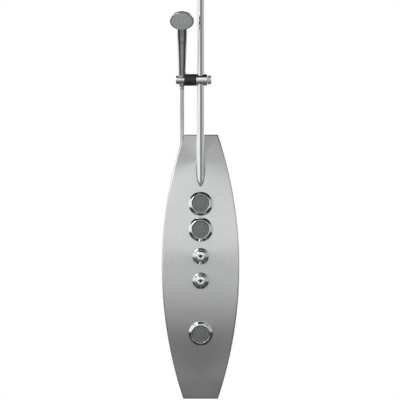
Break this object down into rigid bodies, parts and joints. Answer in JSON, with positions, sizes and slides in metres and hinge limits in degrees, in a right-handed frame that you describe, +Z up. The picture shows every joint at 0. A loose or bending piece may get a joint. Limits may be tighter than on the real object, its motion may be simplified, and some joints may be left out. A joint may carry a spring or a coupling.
{
  "type": "shower panel column",
  "caption": "Bowed metal shower panel with thermostatic and diverter knobs, swivelling body jets, and a riser with a sliding hand shower.",
  "frame": {"origin": "middle of the rectangle of wall fixing holes, on the wall plane, at the case's mid height", "axes": "+X to the right as seen from the front, front towards -Y, +Y into the wall, +Z up along the riser"},
  "size_m": [0.248, 0.1952, 1.292],
  "materials": {
    "steel": "satin brushed",
    "chrome": "polished",
    "chromed_plastic": "chromed, polished",
    "dark_plastic": "matt",
    "grey_nozzle": "matt",
    "black_gloss": "gloss",
    "brass": "as cast",
    "rubber": "matt",
    "zinc": "zinc plated",
    "white_plastic": "matt",
    "grey_rubber": "matt",
    "hose_metal": "silver plastic with a spiral in it"
  },
  "bodies": {
    "column": {"panel_shell": "steel", "upper_wall_bracket": "zinc", "lower_wall_bracket": "zinc", "upper_hanger_rail": "zinc", "lower_hanger_rail": "zinc", "riser_tube": "chrome", "riser_end_cap": "chromed_plastic", "riser_socket": "brass", "riser_washer": "rubber", "riser_grommet": "grey_rubber", "diverter_body": "brass", "mixer_body": "brass", "link_pipe": "brass", "valve_gaskets": "rubber", "diverter_cartridge": "white_plastic", "mixer_cartridge": "white_plastic", "diverter_locknut": "brass", "mixer_locknut": "brass", "hot_inlet_union": "brass", "cold_inlet_union": "brass", "check_valves": "white_plastic", "jet_manifold": "brass", "riser_feed_pipe": "brass", "hose_outlet_elbow": "brass", "hose_outlet_nut": "chrome", "hose_outlet_ferrule": "chrome", "shower_hose": "hose_metal", "jet_gaskets": "rubber", "jet_1_bezel": "chromed_plastic", "jet_1_housing": "dark_plastic", "jet_2_bezel": "chromed_plastic", "jet_2_housing": "dark_plastic", "jet_3_bezel": "chromed_plastic", "jet_3_housing": "dark_plastic"},
    "slider": {"slider_body": "chrome", "slider_bush": "white_plastic", "tilt_pin": "brass"},
    "clamp": {"clamp_knob": "chromed_plastic", "clamp_screw": "brass"},
    "holder": {"tilt_hub": "dark_plastic", "holder_cup": "chromed_plastic"},
    "hand_shower": {"handset_body": "chromed_plastic", "head_ring": "chromed_plastic", "spray_plate": "grey_nozzle", "head_seal": "rubber", "hose_nut": "chrome", "hose_ferrule": "chrome"},
    "diverter_control": {"diverter_knob": "chromed_plastic", "diverter_knob_cap": "dark_plastic", "diverter_spindle": "brass"},
    "mixer_control": {"mixer_knob": "chromed_plastic", "mixer_knob_cap": "dark_plastic", "mixer_spindle": "brass"},
    "jet_1_seat": {"jet_1_seat_ring": "black_gloss"},
    "jet_1_ball": {"jet_1_nozzle": "grey_nozzle"},
    "jet_2_seat": {"jet_2_seat_ring": "black_gloss"},
    "jet_2_ball": {"jet_2_nozzle": "grey_nozzle"},
    "jet_3_seat": {"jet_3_seat_ring": "black_gloss"},
    "jet_3_ball": {"jet_3_nozzle": "grey_nozzle"}
  },
  "joints": [
    {"name": "slider_slide", "type": "slide", "parent": "column", "child": "slider", "axis": [0, 0, 1], "range_m": [-0.08, 0.22], "deforming": ["shower_hose"]},
    {"name": "clamp_turn", "type": "hinge", "parent": "slider", "child": "clamp", "pos_m": [0.0223, -0.0735, 0.5976], "axis": [1, 0, 0], "range_deg": [0, 180]},
    {"name": "holder_tilt", "type": "hinge", "parent": "slider", "child": "holder", "pos_m": [-0.0595, -0.0735, 0.5976], "axis": [1, 0, 0], "range_deg": [-25, 15], "deforming": ["shower_hose"]},
    {"name": "hand_shower_lift", "type": "slide", "parent": "holder", "child": "hand_shower", "axis": [0, -0.309, 0.9511], "range_m": [0, 0.045], "deforming": ["shower_hose"]},
    {"name": "diverter_turn", "type": "hinge", "parent": "column", "child": "diverter_control", "pos_m": [0, -0.12, 0.0344], "axis": [0, -1, 0], "range_deg": [-90, 90]},
    {"name": "temperature_turn", "type": "hinge", "parent": "column", "child": "mixer_control", "pos_m": [0, -0.12, -0.044], "axis": [0, -1, 0], "range_deg": [-70, 140]},
    {"name": "jet_1_spin", "type": "hinge", "parent": "column", "child": "jet_1_seat", "pos_m": [0, -0.09845, 0.20041], "axis": [0, -0.9811, 0.1933], "continuous": true},
    {"name": "jet_1_tilt", "type": "hinge", "parent": "jet_1_seat", "child": "jet_1_ball", "pos_m": [0, -0.09845, 0.20041], "axis": [1, 0, 0], "range_deg": [-12, 12]},
    {"name": "jet_2_spin", "type": "hinge", "parent": "column", "child": "jet_2_seat", "pos_m": [0, -0.11115, 0.11897], "axis": [0, -0.9934, 0.1147], "continuous": true},
    {"name": "jet_2_tilt", "type": "hinge", "parent": "jet_2_seat", "child": "jet_2_ball", "pos_m": [0, -0.11115, 0.11897], "axis": [1, 0, 0], "range_deg": [-12, 12]},
    {"name": "jet_3_spin", "type": "hinge", "parent": "column", "child": "jet_3_seat", "pos_m": [0, -0.09618, -0.21159], "axis": [0, -0.979, -0.204], "continuous": true},
    {"name": "jet_3_tilt", "type": "hinge", "parent": "jet_3_seat", "child": "jet_3_ball", "pos_m": [0, -0.09618, -0.21159], "axis": [1, 0, 0], "range_deg": [-12, 12]}
  ]
}
